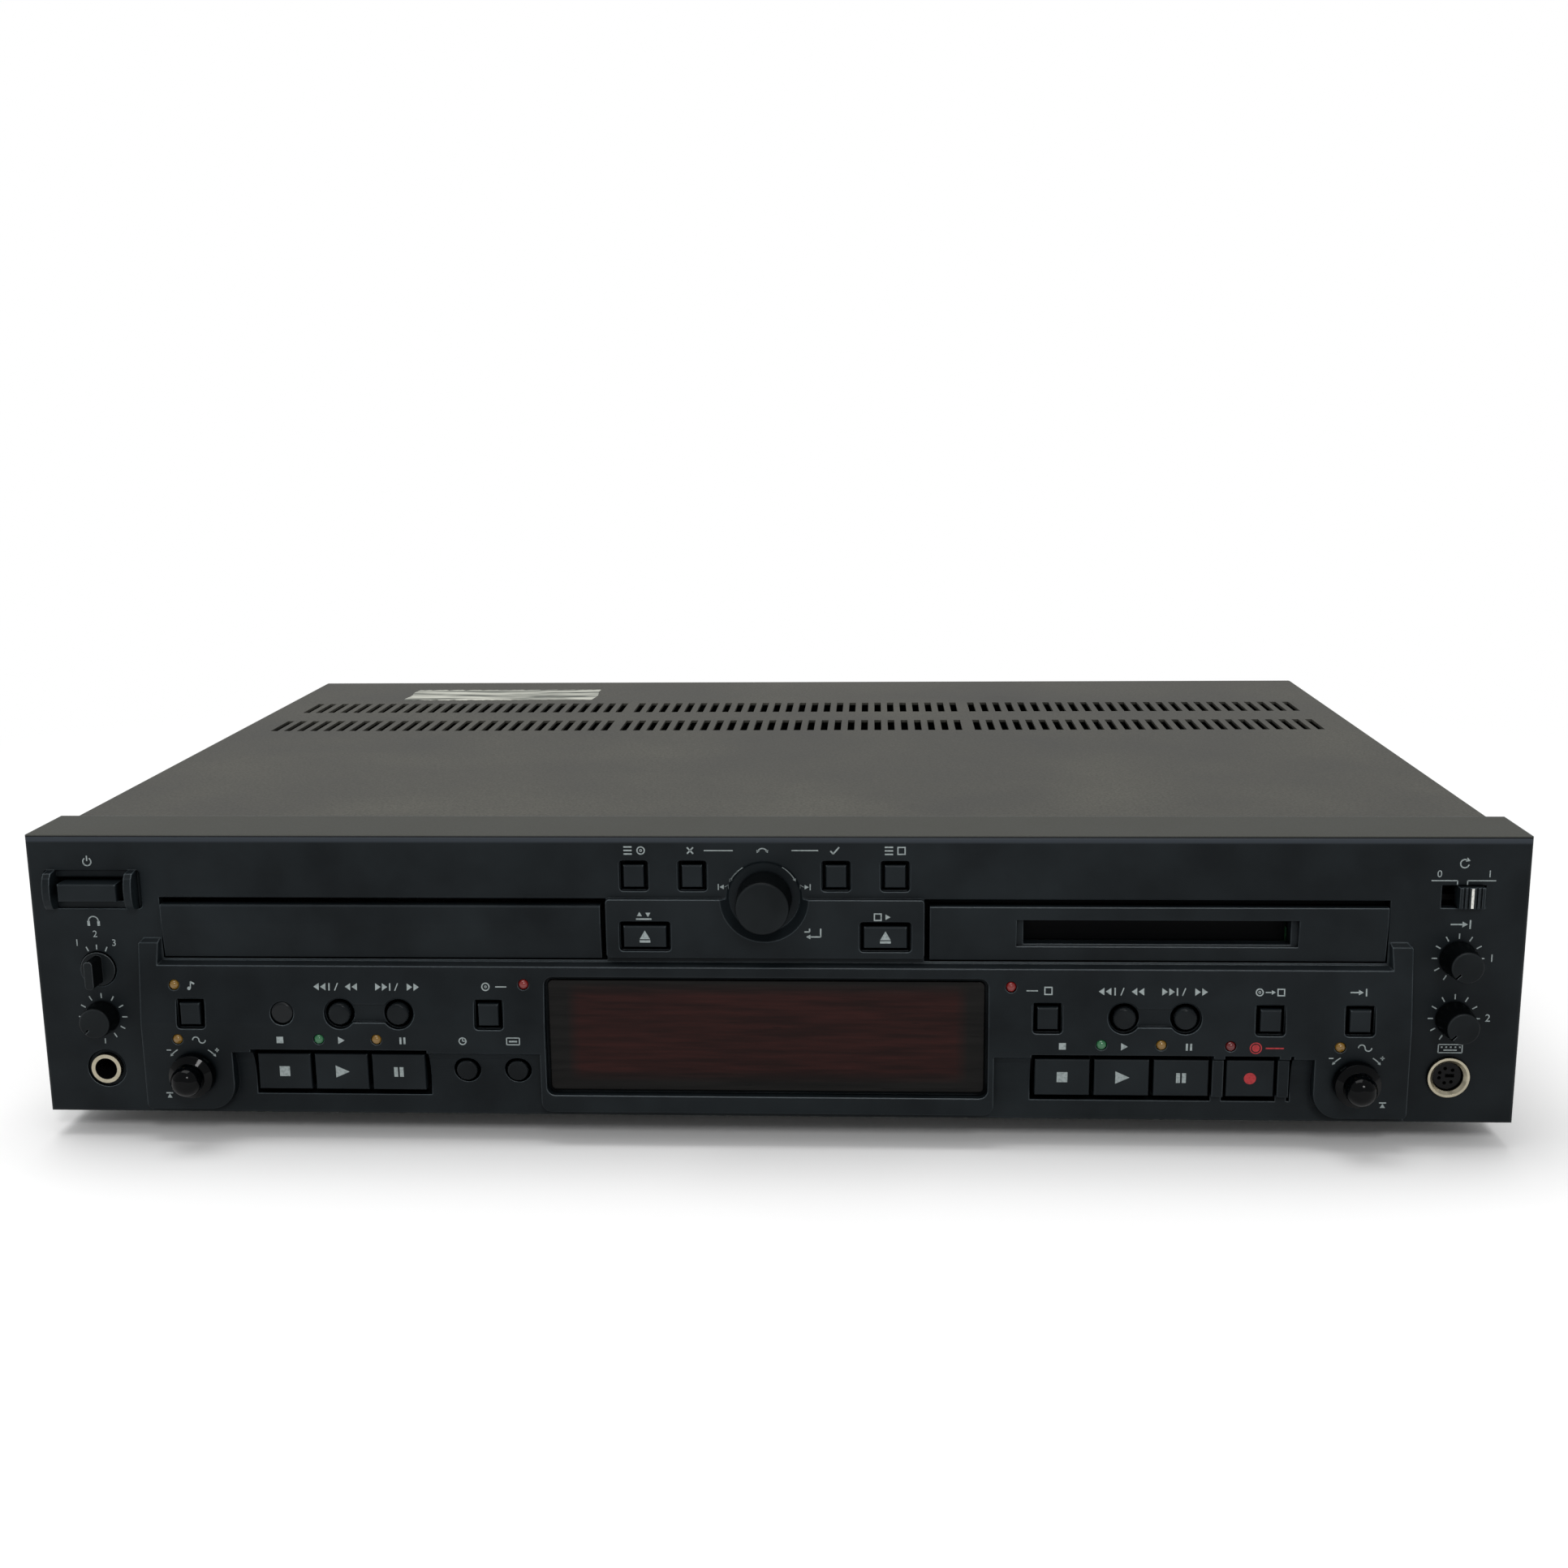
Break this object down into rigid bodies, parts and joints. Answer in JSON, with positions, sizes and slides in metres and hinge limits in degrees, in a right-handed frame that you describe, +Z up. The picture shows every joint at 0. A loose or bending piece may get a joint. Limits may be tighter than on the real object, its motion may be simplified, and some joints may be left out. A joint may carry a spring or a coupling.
{
  "type": "minidisc deck",
  "caption": "Low full-width audio deck with a sliding disc tray, a MiniDisc slot with an inner flap, a smoked display, push keys, turning knobs and input controls.",
  "frame": {"origin": "middle of the outline, on the surface that the feet stand on", "axes": "+X to the right seen from the front, +Y to the back, +Z up"},
  "size_m": [0.435, 0.3095, 0.094],
  "materials": {
    "panel_abs": "satin",
    "key_abs": "satin",
    "knob_abs": "satin",
    "gloss_knob": "gloss",
    "smoked_acrylic": "smoked",
    "led_epoxy": "translucent",
    "painted_steel": "fine texture",
    "zinc_steel": "zinc plated",
    "nickel": "nickel plated",
    "rubber": "matte",
    "board_laminate": "solder mask",
    "loader_abs": "moulded",
    "gear_pom": "natural",
    "core_steel": "laminated"
  },
  "bodies": {
    "deck": {"front_panel": "panel_abs", "slot_plate": "panel_abs", "display_window": "smoked_acrylic", "remote_window": "smoked_acrylic", "status_leds": "led_epoxy", "phones_jack": "nickel", "keyboard_socket": "nickel", "front_board": "board_laminate", "chassis": "zinc_steel", "top_cover": "painted_steel", "rear_panel": "painted_steel", "feet": "rubber", "case_screws": "zinc_steel", "main_board": "board_laminate", "power_transformer": "core_steel", "rear_jacks": "nickel", "cord_gland": "rubber", "disc_loader_frame": "loader_abs", "minidisc_drive": "zinc_steel"},
    "tray": {"disc_tray": "loader_abs", "tray_door": "panel_abs"},
    "tray_gear": {"tray_gear": "gear_pom"},
    "turntable": {"turntable": "loader_abs"},
    "slot_flap": {"slot_flap": "panel_abs"},
    "continue_switch": {"continue_switch": "key_abs"},
    "key_button": {"key_button": "key_abs"},
    "cd_source_button": {"cd_source_button": "key_abs"},
    "md_source_button": {"md_source_button": "key_abs"},
    "dubbing_button": {"dubbing_button": "key_abs"},
    "input_select_button": {"input_select_button": "key_abs"},
    "cd_menu_button": {"cd_menu_button": "key_abs"},
    "no_button": {"no_button": "key_abs"},
    "yes_button": {"yes_button": "key_abs"},
    "md_menu_button": {"md_menu_button": "key_abs"},
    "open_close_button": {"open_close_button": "key_abs"},
    "eject_button": {"eject_button": "key_abs"},
    "cd_skip_back_button": {"cd_skip_back_button": "key_abs"},
    "cd_skip_forward_button": {"cd_skip_forward_button": "key_abs"},
    "md_skip_back_button": {"md_skip_back_button": "key_abs"},
    "md_skip_forward_button": {"md_skip_forward_button": "key_abs"},
    "time_button": {"time_button": "key_abs"},
    "display_button": {"display_button": "key_abs"},
    "cd_stop_button": {"cd_stop_button": "key_abs"},
    "cd_play_button": {"cd_play_button": "key_abs"},
    "cd_ready_button": {"cd_ready_button": "key_abs"},
    "md_stop_button": {"md_stop_button": "key_abs"},
    "md_play_button": {"md_play_button": "key_abs"},
    "md_ready_button": {"md_ready_button": "key_abs"},
    "md_record_button": {"md_record_button": "key_abs"},
    "power_button": {"power_button": "key_abs"},
    "phones_selector_knob": {"phones_selector_knob": "knob_abs"},
    "phones_level_knob": {"phones_level_knob": "knob_abs"},
    "input_left_knob": {"input_left_knob": "knob_abs"},
    "input_right_knob": {"input_right_knob": "knob_abs"},
    "jog_shaft": {"jog_shaft": "zinc_steel"},
    "jog_knob": {"jog_knob": "knob_abs"},
    "cd_pitch_shaft": {"cd_pitch_shaft": "zinc_steel"},
    "cd_pitch_knob": {"cd_pitch_knob": "gloss_knob"},
    "md_pitch_shaft": {"md_pitch_shaft": "zinc_steel"},
    "md_pitch_knob": {"md_pitch_knob": "gloss_knob"}
  },
  "joints": [
    {"name": "tray_slide", "type": "slide", "parent": "deck", "child": "tray", "axis": [0, -1, 0], "range_m": [0, 0.138]},
    {"name": "tray_gear_spin", "type": "hinge", "parent": "deck", "child": "tray_gear", "pos_m": [-0.1511, -0.1035, 0.059], "axis": [0, 0, 1], "range_deg": [0, 791]},
    {"name": "turntable_spin", "type": "hinge", "parent": "deck", "child": "turntable", "pos_m": [-0.1129, -0.072, 0.059], "axis": [0, 0, 1], "continuous": true},
    {"name": "slot_flap_swing", "type": "hinge", "parent": "deck", "child": "slot_flap", "pos_m": [0.11285, -0.1332, 0.0684], "axis": [1, 0, 0], "range_deg": [0, 80], "stiffness_Nm_per_rad": 0.002, "springref_deg": -5.73},
    {"name": "continue_switch_slide", "type": "slide", "parent": "deck", "child": "continue_switch", "axis": [1, 0, 0], "range_m": [-0.0037, 0]},
    {"name": "key_press", "type": "slide", "parent": "deck", "child": "key_button", "axis": [0, 1, 0], "range_m": [0, 0.0008], "stiffness_N_per_m": 700},
    {"name": "cd_source_press", "type": "slide", "parent": "deck", "child": "cd_source_button", "axis": [0, 1, 0], "range_m": [0, 0.0008], "stiffness_N_per_m": 700},
    {"name": "md_source_press", "type": "slide", "parent": "deck", "child": "md_source_button", "axis": [0, 1, 0], "range_m": [0, 0.0008], "stiffness_N_per_m": 700},
    {"name": "dubbing_press", "type": "slide", "parent": "deck", "child": "dubbing_button", "axis": [0, 1, 0], "range_m": [0, 0.0008], "stiffness_N_per_m": 700},
    {"name": "input_select_press", "type": "slide", "parent": "deck", "child": "input_select_button", "axis": [0, 1, 0], "range_m": [0, 0.0008], "stiffness_N_per_m": 700},
    {"name": "cd_menu_press", "type": "slide", "parent": "deck", "child": "cd_menu_button", "axis": [0, 1, 0], "range_m": [0, 0.0008], "stiffness_N_per_m": 700},
    {"name": "no_press", "type": "slide", "parent": "deck", "child": "no_button", "axis": [0, 1, 0], "range_m": [0, 0.0008], "stiffness_N_per_m": 700},
    {"name": "yes_press", "type": "slide", "parent": "deck", "child": "yes_button", "axis": [0, 1, 0], "range_m": [0, 0.0008], "stiffness_N_per_m": 700},
    {"name": "md_menu_press", "type": "slide", "parent": "deck", "child": "md_menu_button", "axis": [0, 1, 0], "range_m": [0, 0.0008], "stiffness_N_per_m": 700},
    {"name": "open_close_press", "type": "slide", "parent": "deck", "child": "open_close_button", "axis": [0, 1, 0], "range_m": [0, 0.0008], "stiffness_N_per_m": 700},
    {"name": "eject_press", "type": "slide", "parent": "deck", "child": "eject_button", "axis": [0, 1, 0], "range_m": [0, 0.0008], "stiffness_N_per_m": 700},
    {"name": "cd_skip_back_press", "type": "slide", "parent": "deck", "child": "cd_skip_back_button", "axis": [0, 1, 0], "range_m": [0, 0.0008], "stiffness_N_per_m": 700},
    {"name": "cd_skip_forward_press", "type": "slide", "parent": "deck", "child": "cd_skip_forward_button", "axis": [0, 1, 0], "range_m": [0, 0.0008], "stiffness_N_per_m": 700},
    {"name": "md_skip_back_press", "type": "slide", "parent": "deck", "child": "md_skip_back_button", "axis": [0, 1, 0], "range_m": [0, 0.0008], "stiffness_N_per_m": 700},
    {"name": "md_skip_forward_press", "type": "slide", "parent": "deck", "child": "md_skip_forward_button", "axis": [0, 1, 0], "range_m": [0, 0.0008], "stiffness_N_per_m": 700},
    {"name": "time_press", "type": "slide", "parent": "deck", "child": "time_button", "axis": [0, 1, 0], "range_m": [0, 0.0008], "stiffness_N_per_m": 700},
    {"name": "display_press", "type": "slide", "parent": "deck", "child": "display_button", "axis": [0, 1, 0], "range_m": [0, 0.0008], "stiffness_N_per_m": 700},
    {"name": "cd_stop_press", "type": "slide", "parent": "deck", "child": "cd_stop_button", "axis": [0, 1, 0], "range_m": [0, 0.001], "stiffness_N_per_m": 700},
    {"name": "cd_play_press", "type": "slide", "parent": "deck", "child": "cd_play_button", "axis": [0, 1, 0], "range_m": [0, 0.001], "stiffness_N_per_m": 700},
    {"name": "cd_ready_press", "type": "slide", "parent": "deck", "child": "cd_ready_button", "axis": [0, 1, 0], "range_m": [0, 0.001], "stiffness_N_per_m": 700},
    {"name": "md_stop_press", "type": "slide", "parent": "deck", "child": "md_stop_button", "axis": [0, 1, 0], "range_m": [0, 0.001], "stiffness_N_per_m": 700},
    {"name": "md_play_press", "type": "slide", "parent": "deck", "child": "md_play_button", "axis": [0, 1, 0], "range_m": [0, 0.001], "stiffness_N_per_m": 700},
    {"name": "md_ready_press", "type": "slide", "parent": "deck", "child": "md_ready_button", "axis": [0, 1, 0], "range_m": [0, 0.001], "stiffness_N_per_m": 700},
    {"name": "md_record_press", "type": "slide", "parent": "deck", "child": "md_record_button", "axis": [0, 1, 0], "range_m": [0, 0.001], "stiffness_N_per_m": 700},
    {"name": "power_press", "type": "slide", "parent": "deck", "child": "power_button", "axis": [0, 1, 0], "range_m": [0, 0.003], "stiffness_N_per_m": 400},
    {"name": "phones_selector_turn", "type": "hinge", "parent": "deck", "child": "phones_selector_knob", "pos_m": [-0.1987, -0.14, 0.0532], "axis": [0, 1, 0], "range_deg": [-35, 35]},
    {"name": "phones_level_turn", "type": "hinge", "parent": "deck", "child": "phones_level_knob", "pos_m": [-0.1987, -0.14, 0.0382], "axis": [0, 1, 0], "range_deg": [-150, 150]},
    {"name": "input_left_turn", "type": "hinge", "parent": "deck", "child": "input_left_knob", "pos_m": [0.1985, -0.14, 0.0583], "axis": [0, 1, 0], "range_deg": [0, 300]},
    {"name": "input_right_turn", "type": "hinge", "parent": "deck", "child": "input_right_knob", "pos_m": [0.1985, -0.14, 0.0402], "axis": [0, 1, 0], "range_deg": [0, 300]},
    {"name": "jog_turn", "type": "hinge", "parent": "deck", "child": "jog_shaft", "pos_m": [0, -0.14, 0.0756], "axis": [0, 1, 0], "continuous": true},
    {"name": "jog_push", "type": "slide", "parent": "jog_shaft", "child": "jog_knob", "axis": [0, 1, 0], "range_m": [0, 0.0008], "stiffness_N_per_m": 900},
    {"name": "cd_pitch_turn", "type": "hinge", "parent": "deck", "child": "cd_pitch_shaft", "pos_m": [-0.1704, -0.14, 0.0223], "axis": [0, 1, 0], "continuous": true},
    {"name": "cd_pitch_push", "type": "slide", "parent": "cd_pitch_shaft", "child": "cd_pitch_knob", "axis": [0, 1, 0], "range_m": [0, 0.0008], "stiffness_N_per_m": 900},
    {"name": "md_pitch_turn", "type": "hinge", "parent": "deck", "child": "md_pitch_shaft", "pos_m": [0.1704, -0.14, 0.0223], "axis": [0, 1, 0], "continuous": true},
    {"name": "md_pitch_push", "type": "slide", "parent": "md_pitch_shaft", "child": "md_pitch_knob", "axis": [0, 1, 0], "range_m": [0, 0.0008], "stiffness_N_per_m": 900}
  ],
  "couplings": [
    {"joint": "tray_gear_spin", "follows": "tray_slide", "rad_per_m": 100}
  ]
}
